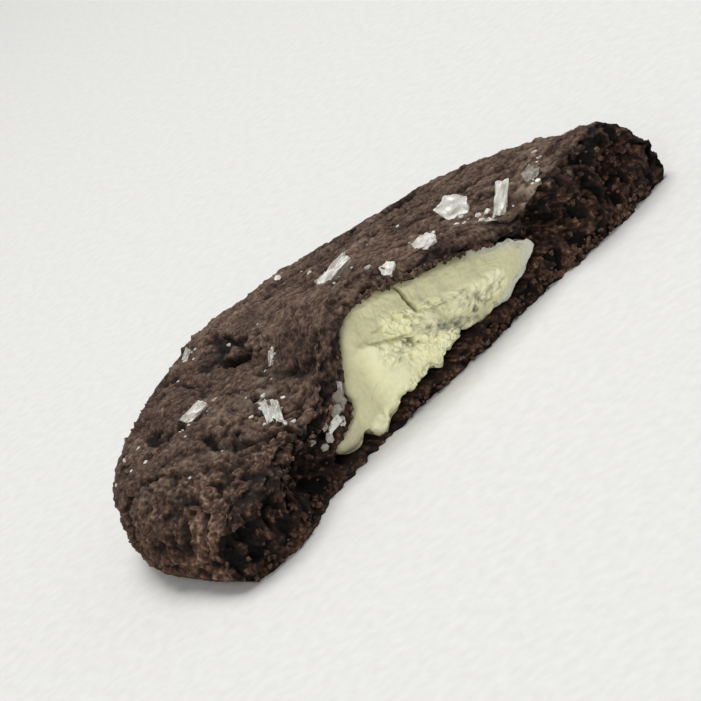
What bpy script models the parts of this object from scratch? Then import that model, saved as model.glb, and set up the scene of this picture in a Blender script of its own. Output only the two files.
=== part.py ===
"""Half of a chocolate cookie with a white chocolate filling, broken across the middle.

Lengths are millimetres in the design and become metres when a mesh is made. X runs along the
break, the broken face looks to -Y, the round rim is at +Y, and the flat base lies on Z = 0.
"""
import math
import random

import bmesh
import bpy
import numpy as np
from mathutils import Matrix, Vector, noise
from mathutils.bvhtree import BVHTree

MM = 0.001

# Driving sizes of the cookie
COOKIE_RADIUS = 39.7
EDGE_THICKNESS = 11.3
BREAK_SPACING = 1.5
CELLS_UP = 8

# Waves round the outline: how many, height, start angle. One blunt corner: angle, height, spread
OUTLINE_WAVES = [(1, 1.9, 0.0), (2, -0.6, 0.0), (5, 0.35, 1.0), (9, 0.22, 0.0)]
OUTLINE_CORNER = (2.6, 0.8, 0.35)

# The baked rim from the base up: share of the radius, share of the thickness
RIM_PROFILE = [(0.0, 0.970, 0.0), (0.16, 0.995, 0.14), (0.36, 1.0, 0.36), (0.60, 0.990, 0.62),
               (0.82, 0.962, 0.87), (1.0, 0.915, 1.0)]

# The rim draws in at the top of the break's +X end and at the foot of its -X end: share, spread
TIP_DRAWN_IN = (0.035, 0.28)
TAIL_DRAWN_IN = (0.025, 0.55)

# The crust's height along the break: it sinks beside the filling and humps over it
CRUST_AT_BREAK = [(-39, 8.2), (-30, 8.6), (-23, 8.4), (-17.5, 8.0), (-14, 9.9), (-11, 13.6),
                  (-7, 16.1), (-3, 16.3), (1.5, 14.6), (7.5, 13.6), (13, 12.0), (19.5, 8.9),
                  (25, 10.3), (31, 11.0), (36, 11.7), (39, 10.3)]
HUMP_LENGTH = 19.0
HUMP_NARROWING = 0.012
SINK_LENGTH = 7.0

# A slow swell of the crust: height, spacing in X and in Y. Its drop near the rim: share, from, to
CRUST_SWELL = (0.3, 6.0, 9.0)
RIM_DROP = (0.09, 0.70, 0.95)

# How far the break strays from a straight line, towards the back
BREAK_LINE = [(-40, -2.4), (-34, -4.2), (-28, -4.4), (-22, -1.8), (-16, 0.0), (-5, 0.3), (6, 0.0),
              (18, 0.5), (27, -0.3), (40, 0.6)]
BREAK_BLEND = 9.0

# The crust's lip leans back at the top and swells below. Hollows in the break: x, z, depth, width, height
LIP_BACK = 0.8
LIP_SWELL = 0.9
HOLLOWS = [(22.5, 6.6, 4.5, 3.2, 2.2), (-21.5, 4.0, 4.0, 4.5, 2.6), (34.0, 6.0, 1.6, 1.8, 1.6)]

# Filling: its outline at the break and how deep it runs into the cookie
FILLING_CENTRE = (-1.0, 7.0)
FILLING_OUTLINE = [(19.6, 5.6), (18.1, 6.6), (15.4, 7.9), (11.8, 9.5), (7.3, 10.9), (4.3, 11.8),
                   (1.6, 12.4), (-1.4, 13.3), (-4.7, 13.9), (-6.8, 13.4), (-8.6, 11.6), (-10.4, 8.9),
                   (-11.3, 6.9), (-11.7, 5.2), (-13.9, 3.8), (-15.9, 2.9), (-16.1, 2.0), (-13.9, 1.5),
                   (-11.6, 1.2), (-9.6, 0.8), (-7.4, 1.0), (-5.6, 1.8), (-3.9, 2.1), (-1.7, 2.0), (0.6, 1.7),
                   (2.6, 2.2), (4.5, 2.8), (6.7, 2.8), (10.1, 2.4), (13.4, 2.4), (16.1, 3.1), (19.0, 4.3)]
FILLING_DEPTH = 18.0
FILLING_DRIFT = 2.0
FILLING_TAPER = 0.12
FILLING_CELLS = 16
FILLING_SETBACK = 0.9
GAP = 0.3
POCKET_MOUTH = -8.0

# Step in radians over which the outline's slant is taken, to widen the pocket evenly
SLANT_STEP = 0.05

# How blunt the filling's inner end is, across and along
DOME_ACROSS = 0.8
DOME_ALONG = 1.1

# Bumps of each surface: size across, height
CRUMB_BUMPS = [(2.6, 0.75), (1.3, 0.35)]
CRUST_BUMPS = [(7.0, 0.35), (3.0, 0.16)]
RIM_BUMPS = [(4.5, 0.4)]
FILLING_BUMPS = [(3.4, 0.7), (1.7, 0.3)]
CRUMB_SEED = 1
CRUST_SEED = 3
RIM_SEED = 5
FILLING_SEED = 11
FOOT_RELIEF = 0.35

# Salt flakes on the crust: place, length, width, turn in their own plane, lean off flat
FLAKES = [(18.1, 9.0, 3.9, 3.0, -20, 55), (20.9, 3.9, 4.3, 1.5, 52, 60), (17.0, 4.6, 3.6, 0.9, -12, 35),
          (7.1, 1.4, 2.8, 1.9, 2, 40), (0.2, 9.4, 4.9, 1.2, 22, 38), (3.0, 17.0, 1.8, 0.8, 10, 40),
          (0.8, 0.9, 2.0, 1.5, 20, 40), (-8.5, 32.7, 1.7, 0.8, 50, 50), (-10.9, 11.8, 1.8, 0.7, 62, 60),
          (-21.6, 14.0, 3.1, 1.2, 15, 55), (-16.8, 8.3, 2.9, 1.2, 5, 40), (-18.6, 4.4, 2.9, 2.3, 80, 55),
          (25.4, 2.6, 2.4, 1.6, 10, 45)]
FLAKE_THICKNESS = 0.7
FLAKE_CORNERS = 6
FLAKE_BEVEL = 0.85
FLAKE_SUNK = 0.45
FLAKES_FACE = -33.0

# Cracks and pits in the crust: place, length, width, turn on the cookie
CRACKS = [(-7.0, 25.5, 9.5, 1.7, 72), (-10.0, 20.8, 8.0, 1.3, 88), (-24.4, 19.0, 5.5, 2.0, 70),
          (-25.6, 7.0, 5.0, 1.4, 65), (16.5, 27.0, 8.0, 1.3, 150), (7.9, 19.5, 5.0, 1.2, 20)]
CRACK_DEPTH = 1.5

# Splits down the rim: angle round the cookie, height, width
RIM_SPLITS = [(38, 8.0, 1.5), (66, 7.0, 1.2), (101, 8.5, 1.6), (131, 6.5, 1.3), (157, 7.5, 1.5)]
SPLIT_DEPTH = 1.8
SPLIT_MIDDLE = 0.55

NOISE_STEP = (17.3, 5.1, 9.7)
TINY = 1e-6


def through(points, x):
    """A smooth curve through the named points, read at x."""
    knots = np.array(points, float)
    xs, ys = knots[:, 0], knots[:, 1]
    slope = np.gradient(ys, xs)
    x = np.clip(x, xs[0], xs[-1])
    i = np.clip(np.searchsorted(xs, x, side="right") - 1, 0, len(xs) - 2)
    step = xs[i + 1] - xs[i]
    t = (x - xs[i]) / step
    start = (1 + 2 * t) * (1 - t) ** 2 * ys[i] + t * (1 - t) ** 2 * step * slope[i]
    end = t * t * (3 - 2 * t) * ys[i + 1] - t * t * (1 - t) * step * slope[i + 1]
    return start + end


def ease(low, high, x):
    """0 below low, 1 above high, smooth in between."""
    t = np.clip((x - low) / (high - low), 0, 1)
    return t * t * (3 - 2 * t)


def rough(points, size, seed):
    """Soft noise between about -1 and 1, with bumps of the given size in mm."""
    shift = Vector(NOISE_STEP) * seed
    return np.array([noise.noise(Vector(p) / size + shift) for p in points.tolist()])


def bumps(points, layers, seed):
    """Several sizes of bump together, in mm."""
    return sum(rough(points, size, seed + n) * height for n, (size, height) in enumerate(layers))


def cookie_radius(angle):
    """The outline seen from above, a little uneven as baked dough is."""
    waves = sum(height * np.cos(count * angle - start) for count, height, start in OUTLINE_WAVES)
    place, height, spread = OUTLINE_CORNER
    return COOKIE_RADIUS + waves + height * np.exp(-((angle - place) / spread) ** 2)


def rim_reach(angle, w):
    """Distance out to the rim at a share w of the way up it."""
    tip, tip_spread = TIP_DRAWN_IN
    tail, tail_spread = TAIL_DRAWN_IN
    over = tip * np.exp(-(angle / tip_spread) ** 2) * ease(0.3, 1.0, w)
    under = tail * np.exp(-((math.pi - angle) / tail_spread) ** 2) * (1 - ease(0.0, 0.35, w))
    share = through([(k, r) for k, r, z in RIM_PROFILE], w) - over - under
    return share * cookie_radius(angle)


def crust_height(x, y):
    """Height of the baked top at a place on the cookie."""
    depth = np.maximum(y, 0)
    front = through(CRUST_AT_BREAK, x * (1 + HUMP_NARROWING * depth))
    swell, swell_x, swell_y = CRUST_SWELL
    flat = EDGE_THICKNESS - swell * np.cos(x / swell_x + y / swell_y)
    rise = np.maximum(front - flat, 0) * np.exp(-(depth / HUMP_LENGTH) ** 2)
    sink = np.minimum(front - flat, 0) * np.exp(-(depth / SINK_LENGTH) ** 2)
    drop, begin, end = RIM_DROP
    return (flat + rise + sink) * (1 - drop * ease(begin, end, np.hypot(x, y) / COOKIE_RADIUS))


def disc_place(u, v):
    """Square coordinates to an angle and a share of the radius, with even spacing."""
    share = np.maximum(np.abs(u), np.abs(v))
    side = np.abs(u) >= np.abs(v)
    safe_u = np.where(np.abs(u) < TINY, TINY, u)
    safe_v = np.where(np.abs(v) < TINY, TINY, v)
    angle = np.where(side, math.pi / 4 * v / safe_u, math.pi / 2 - math.pi / 4 * u / safe_v)
    opposite = np.where(side, u < 0, v < 0)
    return angle + math.pi * opposite, share


def block(name, cells):
    """A cube from -1 to 1 with the given number of cells along each axis."""
    mesh = bpy.data.meshes.new(name)
    shape = bmesh.new()
    bmesh.ops.create_cube(shape, size=2)
    for axis, count in enumerate(cells):
        ring = [e for e in shape.edges
                if abs(abs((e.verts[0].co - e.verts[1].co)[axis]) - 2) < TINY]
        bmesh.ops.subdivide_edges(shape, edges=ring, cuts=count - 1, use_grid_fill=True)
    shape.to_mesh(mesh)
    shape.free()
    return mesh


def read_points(mesh):
    flat = np.empty(len(mesh.vertices) * 3)
    mesh.vertices.foreach_get("co", flat)
    return flat.reshape(-1, 3)


def write_points(mesh, points):
    mesh.vertices.foreach_set("co", (points * MM).ravel())
    mesh.update()


def break_offset(x, z, top):
    """How far the broken face stands from Y = 0 at a place on it."""
    level = np.clip(z / top, 0, 1)
    back = LIP_BACK * ease(0.80, 1.0, level)
    swell = LIP_SWELL * ease(0.72, 0.90, level) * (1 - ease(0.92, 1.0, level))
    offset = through(BREAK_LINE, x) + back - swell
    for hx, hz, depth, width, height in HOLLOWS:
        offset = offset + depth * np.exp(-((x - hx) / width) ** 2 - ((z - hz) / height) ** 2)
    return offset


def shape_dough(cells):
    """A block bent into half a cookie: one side is the break, three are the rim."""
    mesh = block("cookie", cells)
    u, v, w = read_points(mesh).T
    v = (v + 1) / 2
    w = (w + 1) / 2
    front = v < TINY
    crown = w > 1 - TINY
    angle, share = disc_place(u, v)
    rim = (share > 1 - TINY) & ~front
    reach = rim_reach(angle, w)
    x = share * reach * np.cos(angle)
    y = share * reach * np.sin(angle)
    top = crust_height(x, y)
    z = through([(k, z) for k, r, z in RIM_PROFILE], w) * top
    edge_offset = through(BREAK_LINE, x) + np.where(crown, LIP_BACK, 0)
    blend = np.exp(-(y / BREAK_BLEND) ** 2)
    y = y + np.where(front, break_offset(x, z, top), edge_offset * blend)
    points = np.stack([x, y, z], 1)
    away = ease(0.02, 0.3, w)
    crumb = bumps(points, CRUMB_BUMPS, CRUMB_SEED) * (FOOT_RELIEF + (1 - FOOT_RELIEF) * away)
    crust = bumps(points, CRUST_BUMPS, CRUST_SEED)
    outward = np.where(rim, bumps(points, RIM_BUMPS, RIM_SEED) * away, 0)
    points[:, 0] += outward * np.cos(angle)
    points[:, 1] += outward * np.sin(angle) + np.where(front, crumb, 0)
    points[:, 2] += np.where(crown, crust, 0)
    write_points(mesh, points)
    return mesh


def outline_radius(angle):
    """Distance from the filling's centre to its outline at the break."""
    spokes = [(math.atan2(z - FILLING_CENTRE[1], x - FILLING_CENTRE[0]),
               math.hypot(x - FILLING_CENTRE[0], z - FILLING_CENTRE[1])) for x, z in FILLING_OUTLINE]
    spokes.sort()
    turn = 2 * math.pi
    wrapped = [(a - turn, r) for a, r in spokes[-3:]] + spokes + [(a + turn, r) for a, r in spokes[:3]]
    return through(wrapped, angle)


def shape_filling(name, cells, grow=0.0, mouth=None):
    """The chunk of filling: its outline at the break, rounded off towards the back.

    With a mouth it runs straight out to there, as the pocket's cutter does.
    """
    deep = cells // 2 + (0 if mouth is None else 1)
    mesh = block(name, (cells, cells, deep))
    p, q, w = read_points(mesh).T
    w = (w + 1) / 2
    face = w < TINY
    if mouth is not None:
        w = np.maximum((w * deep - 1) / (deep - 1), 0)
    angle, share = disc_place(p, q)
    angle = np.where(angle > math.pi, angle - 2 * math.pi, angle)
    side = share > 1 - TINY
    turn = np.where(side, w * math.pi / 4, math.pi / 2 - share * math.pi / 4)
    radius = outline_radius(angle)
    slant = (outline_radius(angle + SLANT_STEP) - outline_radius(angle - SLANT_STEP)) / (2 * SLANT_STEP)
    radius = radius + grow * np.hypot(1, slant / radius)
    across = np.where(face, share, np.cos(turn) ** DOME_ACROSS) * radius
    inward = np.where(face, 0, np.sin(turn) ** DOME_ALONG) * (1 + grow / FILLING_DEPTH)
    x = FILLING_CENTRE[0] + across * np.cos(angle) - FILLING_DRIFT * inward
    z = FILLING_CENTRE[1] + across * np.sin(angle) * (1 - FILLING_TAPER * inward)
    y = FILLING_SETBACK + inward * FILLING_DEPTH
    points = np.stack([x, y, z], 1)
    if mouth is None:
        lumps = bumps(points, FILLING_BUMPS, FILLING_SEED)
        points[:, 1] += np.where(face, lumps * (1 - share ** 4), 0)
    else:
        points[:, 1] = np.where(face, mouth, points[:, 1])
    write_points(mesh, points)
    # The block's height has become the depth, which turned its faces inwards
    mesh.flip_normals()
    return mesh


def flake_axes(turn, lean):
    """The plate's length, width and thickness directions."""
    heading = Matrix.Rotation(math.radians(FLAKES_FACE), 3, "Z")
    tipped = Matrix.Rotation(math.radians(lean), 3, "X")
    spun = Matrix.Rotation(math.radians(turn), 3, "Z")
    return heading @ tipped @ spun


def shape_flake(cookie, x, y, length, width, turn, lean, seed):
    """A six-sided plate of salt with uneven corners, its foot sunk in the crust."""
    dice = random.Random(seed)
    shape = bmesh.new()
    bmesh.ops.create_cone(shape, cap_ends=True, segments=FLAKE_CORNERS,
                          radius1=1.0, radius2=FLAKE_BEVEL, depth=1.0)
    for corner in shape.verts:
        corner.co.x *= dice.uniform(0.8, 1.1)
        corner.co.y *= dice.uniform(0.8, 1.1)
    axes = flake_axes(turn, lean) @ Matrix.Diagonal((length / 2, width / 2, FLAKE_THICKNESS))
    steep = Vector((axes[2][0], axes[2][1], 0)).normalized()
    foot = -(axes @ steep)
    ground = crust_top(cookie, x + foot.x, y + foot.y)
    centre = ground - foot - Vector((0, 0, FLAKE_SUNK))
    bmesh.ops.transform(shape, matrix=Matrix.Translation(centre) @ axes.to_4x4(), verts=shape.verts)
    return shape


def shape_notch(centre, size, turn, seed):
    """A long lens that cuts a crack, split or pit."""
    dice = random.Random(seed)
    shape = bmesh.new()
    bmesh.ops.create_icosphere(shape, subdivisions=1, radius=1.0)
    for corner in shape.verts:
        corner.co *= dice.uniform(0.85, 1.15)
    frame = Matrix.Translation(centre) @ Matrix.Rotation(turn, 4, "Z") @ Matrix.Diagonal((*size, 1))
    bmesh.ops.transform(shape, matrix=frame, verts=shape.verts)
    return shape


def to_object(name, shape, group):
    """A mesh in mm becomes an object in metres."""
    bmesh.ops.scale(shape, vec=(MM, MM, MM), verts=shape.verts)
    bmesh.ops.recalc_face_normals(shape, faces=shape.faces)
    mesh = bpy.data.meshes.new(name)
    shape.to_mesh(mesh)
    shape.free()
    thing = bpy.data.objects.new(name, mesh)
    group.objects.link(thing)
    return thing


def new_group(name):
    group = bpy.data.collections.new(name)
    bpy.context.scene.collection.children.link(group)
    return group


def boolean(thing, operation, group):
    """Cuts a collection out of an object or joins it on, and removes the collection."""
    step = thing.modifiers.new(operation.lower(), "BOOLEAN")
    step.operation = operation
    step.operand_type = "COLLECTION"
    step.collection = group
    step.solver = "EXACT"
    ready = thing.evaluated_get(bpy.context.evaluated_depsgraph_get())
    done = bpy.data.meshes.new_from_object(ready)
    thing.modifiers.clear()
    thing.data = done
    for tool in list(group.objects):
        bpy.data.objects.remove(tool, do_unlink=True)
    bpy.data.collections.remove(group)


def crust_top(cookie, x, y):
    """Where the finished crust lies above a place."""
    tree = BVHTree.FromPolygons([v.co / MM for v in cookie.data.vertices],
                                [f.vertices[:] for f in cookie.data.polygons])
    spot = tree.ray_cast(Vector((x, y, 2 * EDGE_THICKNESS)), Vector((0, 0, -1)))[0]
    return spot


def flatten_base(mesh):
    """The base becomes one flat face."""
    shape = bmesh.new()
    shape.from_mesh(mesh)
    low = [v for v in shape.verts if v.co.z < TINY]
    edges = [e for e in shape.edges if all(v.co.z < TINY for v in e.verts)]
    bmesh.ops.dissolve_limit(shape, angle_limit=math.radians(0.5), verts=low, edges=edges)
    shape.to_mesh(mesh)
    shape.free()


def material(name, colour, roughness):
    finish = bpy.data.materials.new(name)
    finish.use_nodes = True
    surface = finish.node_tree.nodes["Principled BSDF"]
    surface.inputs["Base Color"].default_value = (*colour, 1)
    surface.inputs["Roughness"].default_value = roughness
    surface.inputs["Metallic"].default_value = 0.0
    return finish


def cut_pocket(cookie):
    cutters = new_group("pocket_cutter")
    pocket = bpy.data.objects.new("pocket", shape_filling("pocket", FILLING_CELLS, GAP, POCKET_MOUTH))
    cutters.objects.link(pocket)
    boolean(cookie, "DIFFERENCE", cutters)


def cut_cracks(cookie):
    cutters = new_group("crack_cutters")
    for number, (x, y, length, width, turn) in enumerate(CRACKS):
        size = (length / 2, width / 2, CRACK_DEPTH)
        shape = shape_notch(crust_top(cookie, x, y), size, math.radians(turn), number)
        to_object("crack", shape, cutters)
    for number, (angle, height, width) in enumerate(RIM_SPLITS):
        turn = math.radians(angle)
        reach = float(cookie_radius(turn))
        centre = Vector((reach * math.cos(turn), reach * math.sin(turn), SPLIT_MIDDLE * EDGE_THICKNESS))
        size = (SPLIT_DEPTH, width / 2, height / 2)
        to_object("split", shape_notch(centre, size, turn, number + len(CRACKS)), cutters)
    boolean(cookie, "DIFFERENCE", cutters)


def add_flakes(cookie):
    flakes = new_group("salt_flakes")
    for number, flake in enumerate(FLAKES):
        to_object("flake", shape_flake(cookie, *flake, number), flakes)
    boolean(cookie, "UNION", flakes)


def main():
    for thing in list(bpy.data.objects):
        bpy.data.objects.remove(thing, do_unlink=True)
    parts = new_group("filled_cookie")
    across = round(2 * COOKIE_RADIUS / BREAK_SPACING)
    cookie = bpy.data.objects.new("cookie", shape_dough((across, across // 2, CELLS_UP)))
    filling = bpy.data.objects.new("filling", shape_filling("filling", FILLING_CELLS))
    for thing in (cookie, filling):
        parts.objects.link(thing)
    cut_pocket(cookie)
    cut_cracks(cookie)
    add_flakes(cookie)
    flatten_base(cookie.data)
    cookie.data.materials.clear()
    cookie.data.materials.append(material("baked_cocoa_dough", (0.060, 0.035, 0.027), 0.85))
    filling.data.materials.append(material("white_chocolate", (0.78, 0.74, 0.46), 0.5))
    corners = np.array([v.co for v in cookie.data.vertices])
    middle = (corners.min(0) + corners.max(0)) / 2
    for thing in (cookie, filling):
        thing.location = (-middle[0], -middle[1], 0)


main()
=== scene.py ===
"""The looks of half a filled chocolate cookie: baked crust, torn crumb, white chocolate and salt.

Shapes are worked out in millimetres in the cookie's own frame: X along the break, the broken face
to -Y, the rim at +Y and the base on Z = 0. They become metres when a mesh is made.
"""
import math
import random

import bmesh
import bpy
import numpy as np
from mathutils import Matrix, Vector, noise
from mathutils.bvhtree import BVHTree


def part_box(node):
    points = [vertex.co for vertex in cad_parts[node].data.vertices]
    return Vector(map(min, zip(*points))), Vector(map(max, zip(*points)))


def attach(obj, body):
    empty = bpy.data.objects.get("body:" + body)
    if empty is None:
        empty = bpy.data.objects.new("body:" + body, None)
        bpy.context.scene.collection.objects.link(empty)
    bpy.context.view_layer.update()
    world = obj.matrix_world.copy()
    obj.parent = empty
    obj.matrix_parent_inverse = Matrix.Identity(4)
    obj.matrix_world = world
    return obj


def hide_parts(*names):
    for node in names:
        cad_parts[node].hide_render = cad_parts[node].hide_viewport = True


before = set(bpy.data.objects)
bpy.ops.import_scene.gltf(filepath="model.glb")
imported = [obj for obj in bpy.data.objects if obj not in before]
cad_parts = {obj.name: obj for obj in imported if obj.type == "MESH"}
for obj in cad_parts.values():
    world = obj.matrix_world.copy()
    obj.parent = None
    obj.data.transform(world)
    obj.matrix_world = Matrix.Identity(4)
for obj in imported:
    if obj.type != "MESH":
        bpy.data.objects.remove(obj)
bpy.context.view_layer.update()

MM = 0.001

# From the middle of the break to the middle of the base, in metres
FRAME_SHIFT = (-0.002246, -0.017824, 0.0)

# Forms shared with the solids
COOKIE_RADIUS = 39.7
EDGE_THICKNESS = 11.3

# Waves round the outline: how many, height, start angle. One blunt corner: angle, height, spread
OUTLINE_WAVES = [(1, 1.9, 0.0), (2, -0.6, 0.0), (5, 0.35, 1.0), (9, 0.22, 0.0)]
OUTLINE_CORNER = (2.6, 0.8, 0.35)

# The baked rim from the base up: share of the radius, share of the thickness
RIM_PROFILE = [(0.0, 0.970, 0.0), (0.16, 0.995, 0.14), (0.36, 1.0, 0.36), (0.60, 0.990, 0.62),
               (0.82, 0.962, 0.87), (1.0, 0.915, 1.0)]

# The rim draws in at the top of the break's +X end and at the foot of its -X end: share, spread
TIP_DRAWN_IN = (0.035, 0.28)
TAIL_DRAWN_IN = (0.025, 0.55)

# The crust's height along the break: it sinks beside the filling and humps over it
CRUST_AT_BREAK = [(-39, 8.2), (-30, 8.6), (-23, 8.4), (-17.5, 8.0), (-14, 9.9), (-11, 13.6),
                  (-7, 16.1), (-3, 16.3), (1.5, 14.6), (7.5, 13.6), (13, 12.0), (19.5, 8.9),
                  (25, 10.3), (31, 11.0), (36, 11.7), (39, 10.3)]
HUMP_LENGTH = 19.0
HUMP_NARROWING = 0.012
SINK_LENGTH = 7.0

# A slow swell of the crust: height, spacing in X and in Y. Its drop near the rim: share, from, to
CRUST_SWELL = (0.3, 6.0, 9.0)
RIM_DROP = (0.09, 0.70, 0.95)

# How far the break strays from a straight line, towards the back
BREAK_LINE = [(-40, -2.4), (-34, -4.2), (-28, -4.4), (-22, -1.8), (-16, 0.0), (-5, 0.3), (6, 0.0),
              (18, 0.5), (27, -0.3), (40, 0.6)]
BREAK_BLEND = 9.0

# The crust's lip leans back at the top and swells below. Hollows in the break: x, z, depth, width
# and height
LIP_BACK = 0.8
LIP_SWELL = 0.9
HOLLOWS = [(22.5, 6.6, 4.5, 3.2, 2.2), (-21.5, 4.0, 4.0, 4.5, 2.6), (34.0, 6.0, 1.6, 1.8, 1.6)]

# Filling: its outline at the break and how deep it runs into the cookie
FILLING_CENTRE = (-1.0, 7.0)
FILLING_OUTLINE = [(19.6, 5.6), (18.1, 6.6), (15.4, 7.9), (11.8, 9.5), (7.3, 10.9), (4.3, 11.8),
                   (1.6, 12.4), (-1.4, 13.3), (-4.7, 13.9), (-6.8, 13.4), (-8.6, 11.6), (-10.4, 8.9),
                   (-11.3, 6.9), (-11.7, 5.2), (-13.9, 3.8), (-15.9, 2.9), (-16.1, 2.0), (-13.9, 1.5),
                   (-11.6, 1.2), (-9.6, 0.8), (-7.4, 1.0), (-5.6, 1.8), (-3.9, 2.1), (-1.7, 2.0),
                   (0.6, 1.7), (2.6, 2.2), (4.5, 2.8), (6.7, 2.8), (10.1, 2.4), (13.4, 2.4),
                   (16.1, 3.1), (19.0, 4.3)]
FILLING_DEPTH = 18.0
FILLING_DRIFT = 2.0
FILLING_TAPER = 0.12
FILLING_SETBACK = 0.9

# How blunt the filling's inner end is, across and along
DOME_ACROSS = 0.8
DOME_ALONG = 1.1

# The filling's torn face, as x and z: creases with their width and depth, the ledge that juts out
# below them, and the torn bands with their widths
CHOCOLATE_CREASES = [
    ([(0.3, 13.2), (0.8, 11.3), (1.2, 10.0), (1.5, 8.7)], 0.42, 1.5),
    ([(-6.2, 9.4), (-3.0, 7.8), (-1.0, 7.1), (1.6, 6.3), (4.5, 4.7), (5.2, 3.2)], 0.32, 0.6),
    ([(-4.8, 10.1), (-2.2, 9.7), (0.1, 8.9), (1.6, 7.6)], 0.28, 0.4),
    ([(1.5, 8.7), (3.9, 7.1), (6.9, 6.4), (9.0, 6.5)], 0.32, 0.45),
    ([(-2.2, 7.0), (-1.6, 6.0), (-0.5, 5.8)], 0.4, 0.8),
    ([(9.4, 4.9), (10.4, 3.6), (11.4, 3.6)], 0.3, 0.5)]
FILLING_LEDGE = [(-9.0, 9.9), (-6.3, 9.4), (-3.0, 7.8), (-1.0, 7.1), (1.6, 6.3), (4.5, 4.7), (8.5, 2.4)]
TORN_BAND = [(-3.0, 9.3), (0.4, 8.4), (3.9, 7.2), (6.9, 6.0), (10.0, 5.2), (12.6, 4.8)]
TORN_LOBE = [(-4.4, 7.6), (-1.0, 6.2), (1.5, 5.0), (3.6, 4.0), (4.6, 3.6)]
TORN_FOOT = [(-10.4, 1.6), (-7.4, 2.2), (-4.8, 2.6), (-2.0, 2.6), (1.0, 2.4)]
BAND_WIDTH = 2.2
LOBE_WIDTH = 2.8
FOOT_WIDTH = 1.4

# Pits in the filling: x, z, size. Then their depth, two sizes of torn chip, the ledge's step, the
# height of the rolled rim, and how far in the ragged edge goes as a share of the filling's depth
FILLING_PITS = [(5.2, 3.1, 0.7), (-1.2, 6.6, 0.6), (-11.6, 1.2, 0.7), (-5.6, 1.6, 0.5), (8.4, 4.0, 0.4)]
FILLING_PIT_DEPTH = 1.1
CHIP_SIZE = 1.4
FINE_CHIP_SIZE = 0.6
LEDGE_STEP = 0.7
ROLL_HEIGHT = 0.9
EDGE_REACH = 0.3

# Lobes of the filling's ragged lower edge: x, z, how far they move it along x and z, and their size
EDGE_LOBES = [(-11.9, 1.0, 0.0, 1.1, 0.8), (-14.2, 1.3, 0.2, -0.3, 1.1), (-16.6, 2.6, 0.2, 0.6, 1.0),
              (-10.0, 0.9, 0.0, -0.7, 0.9), (-7.8, 1.0, 0.0, 0.5, 1.0), (-5.8, 1.6, 0.3, 0.8, 0.9),
              (-3.8, 2.0, 0.0, -0.2, 0.9), (-1.0, 2.0, 0.0, 0.6, 0.9), (2.0, 2.2, 0.0, 0.4, 0.9),
              (5.3, 2.9, 0.0, 0.7, 0.7), (8.6, 3.0, 0.0, -0.3, 0.9)]

# Nubs that stand out of the filling: x, z, how far, size
NUBS = [(-9.9, 1.0, 1.4, 1.2), (-3.9, 2.2, 0.8, 0.9), (3.2, 3.8, 0.4, 1.5), (-7.0, 2.4, 0.4, 1.0)]

# Bumps of each surface: size across, height
CRUMB_BUMPS = [(2.6, 0.75), (1.3, 0.35)]
CRUST_BUMPS = [(7.0, 0.35), (3.0, 0.16)]
RIM_BUMPS = [(4.5, 0.4)]
FILLING_BUMPS = [(3.4, 0.7), (1.7, 0.3)]
CRUMB_SEED = 1
CRUST_SEED = 3
RIM_SEED = 5
FILLING_SEED = 11
FOOT_RELIEF = 0.35

# Salt flakes on the crust: place, length, width, turn in their own plane, lean off flat. They lean
# towards one side of the cookie, given in degrees
FLAKES = [(18.1, 9.0, 3.9, 3.0, -20, 55), (20.9, 3.9, 4.3, 1.5, 52, 60),
          (17.0, 4.6, 3.6, 0.9, -12, 35), (7.1, 1.4, 2.8, 1.9, 2, 40), (0.2, 9.4, 4.9, 1.2, 22, 38),
          (3.0, 17.0, 1.8, 0.8, 10, 40), (0.8, 0.9, 2.0, 1.5, 20, 40), (-8.5, 32.7, 1.7, 0.8, 50, 50),
          (-10.9, 11.8, 1.8, 0.7, 62, 60), (-21.6, 14.0, 3.1, 1.2, 15, 55),
          (-16.8, 8.3, 2.9, 1.2, 5, 40), (-18.6, 4.4, 2.9, 2.3, 80, 55), (25.4, 2.6, 2.4, 1.6, 10, 45)]
FLAKE_THICKNESS = 0.7
FLAKE_SUNK = 0.2
FLAKES_FACE = -33.0

# Cracks in the crust: place, length, width, turn on the cookie
CRACKS = [(-7.0, 25.5, 9.5, 1.7, 72), (-10.0, 20.8, 8.0, 1.3, 88), (-24.4, 19.0, 5.5, 2.0, 70),
          (-25.6, 7.0, 5.0, 1.4, 65), (16.5, 27.0, 8.0, 1.3, 150), (7.9, 19.5, 5.0, 1.2, 20)]
CRACK_DEPTH = 1.5

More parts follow.
